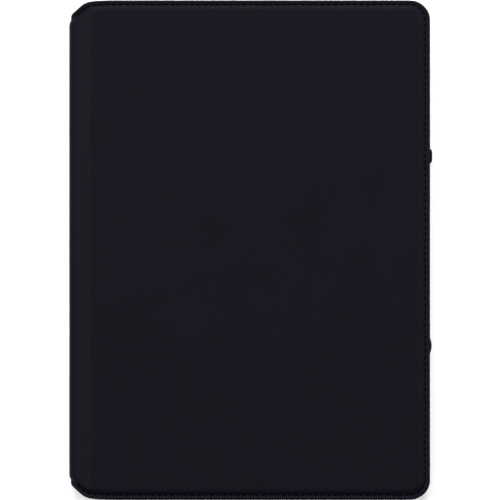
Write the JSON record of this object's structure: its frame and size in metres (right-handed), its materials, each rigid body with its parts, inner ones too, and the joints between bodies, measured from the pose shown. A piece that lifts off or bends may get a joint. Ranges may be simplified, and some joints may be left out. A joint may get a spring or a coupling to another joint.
{
  "type": "tablet case",
  "caption": "Padded folio case: hinged leather covers with a soft spine, a clip-in tablet tray and an elastic closing strap stowed round the back.",
  "frame": {"origin": "on the rest plane under the middle of the closed case", "axes": "+Y along the case's height towards its top, +X towards the opening edge, +Z out of the front cover"},
  "size_m": [0.181, 0.2496, 0.0185],
  "materials": {
    "navy_leather": "smooth navy-black artificial leather with a fine grain",
    "foam": "closed-cell foam, 1 mm",
    "board": "grey-brown bookbinding board",
    "lining": "short-pile microfibre",
    "thread": "black polyester thread",
    "ring_plastic": "black moulded plastic",
    "adhesive": "double-sided adhesive sheet",
    "tray_plastic": "black moulded polycarbonate, fine spark texture",
    "pad_cloth": "thin microfibre",
    "elastic": "woven black elastic",
    "magnet": "nickel-plated magnet"
  },
  "bodies": {
    "back_cover": {"back_skin": "navy_leather", "back_foam": "foam", "back_board": "board", "back_lining": "lining", "back_stitches": "thread", "camera_ring": "ring_plastic", "tray_bond": "adhesive", "tray": "tray_plastic", "tray_pad": "pad_cloth", "lower_hinge_skin": "navy_leather", "lower_hinge_cloth": "lining", "strap_tails": "elastic", "tail_stitches": "thread", "strap_wraps": "elastic"},
    "spine": {"spine_skin": "navy_leather", "spine_board": "board", "spine_cloth": "lining"},
    "front_cover": {"upper_hinge_skin": "navy_leather", "upper_hinge_cloth": "lining", "front_skin": "navy_leather", "front_foam": "foam", "front_board": "board", "front_lining": "lining", "front_stitches": "thread", "sleep_magnets": "magnet"},
    "strap_legs": {"strap_leg_top": "elastic", "strap_leg_bottom": "elastic", "strap_knees": "elastic"},
    "strap_band": {"strap_loop": "elastic", "strap_mitres": "thread"}
  },
  "joints": [
    {"name": "spine_hinge", "type": "hinge", "parent": "back_cover", "child": "spine", "pos_m": [-0.08703, 0, 0.00191], "axis": [0, -1, 0], "range_deg": [0, 179], "deforming": ["lower_hinge_skin", "lower_hinge_cloth"]},
    {"name": "cover_hinge", "type": "hinge", "parent": "spine", "child": "front_cover", "pos_m": [-0.08703, 0, 0.01659], "axis": [0, -1, 0], "range_deg": [0, 179], "deforming": ["upper_hinge_skin", "upper_hinge_cloth"]},
    {"name": "strap_swing", "type": "hinge", "parent": "back_cover", "child": "strap_legs", "pos_m": [0.0901, 0, 0.00055], "axis": [0, -1, 0], "range_deg": [0, 270], "deforming": ["strap_wraps"]},
    {"name": "strap_bend", "type": "hinge", "parent": "strap_legs", "child": "strap_band", "pos_m": [0.0714, 0, 0.00055], "axis": [0, -1, 0], "range_deg": [0, 90], "deforming": ["strap_knees"]}
  ],
  "couplings": [
    {"joint": "strap_bend", "follows": "strap_swing", "ratio": 0.33333}
  ]
}
